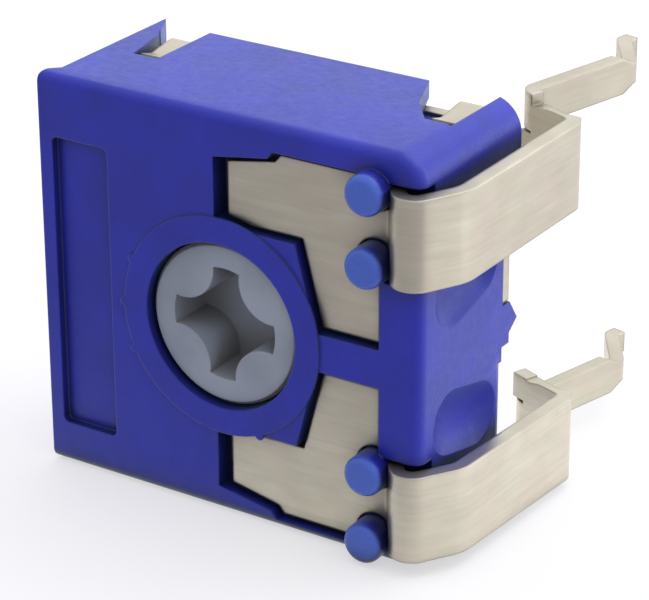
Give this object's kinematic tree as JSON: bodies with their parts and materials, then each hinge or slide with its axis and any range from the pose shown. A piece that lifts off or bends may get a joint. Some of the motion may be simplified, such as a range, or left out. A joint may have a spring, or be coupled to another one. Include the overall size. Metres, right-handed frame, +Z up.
{
  "type": "trimmer potentiometer",
  "caption": "Square moulded trimmer potentiometer with a cross-slotted rotor in its face, staked curved side terminals and solder pins that point backwards.",
  "frame": {"origin": "middle of the underside, on the lower side face of the housing", "axes": "+X from the sunk panel towards the end terminals, +Y from the adjustment face back towards the solder pins, +Z up along the adjustment face"},
  "size_m": [0.0157, 0.0164, 0.014],
  "materials": {
    "housing_plastic": "satin moulded thermoplastic",
    "rotor_plastic": "satin moulded thermoplastic",
    "spring_alloy": "rolled spring sheet",
    "laminate": "dull pressed laminate",
    "carbon": "dull printed carbon film",
    "tinned_sheet": "dull tinned sheet"
  },
  "bodies": {
    "housing": {"housing": "housing_plastic", "carrier": "laminate", "carbon_track": "carbon", "upper_terminal": "tinned_sheet", "lower_terminal": "tinned_sheet", "collector_plate": "tinned_sheet"},
    "rotor": {"rotor": "rotor_plastic", "wiper": "spring_alloy"}
  },
  "joints": [
    {"name": "rotor_turn", "type": "hinge", "parent": "housing", "child": "rotor", "pos_m": [-0.0002, 0, 0.0067], "axis": [0, 1, 0], "range_deg": [-132.5, 132.5]}
  ]
}
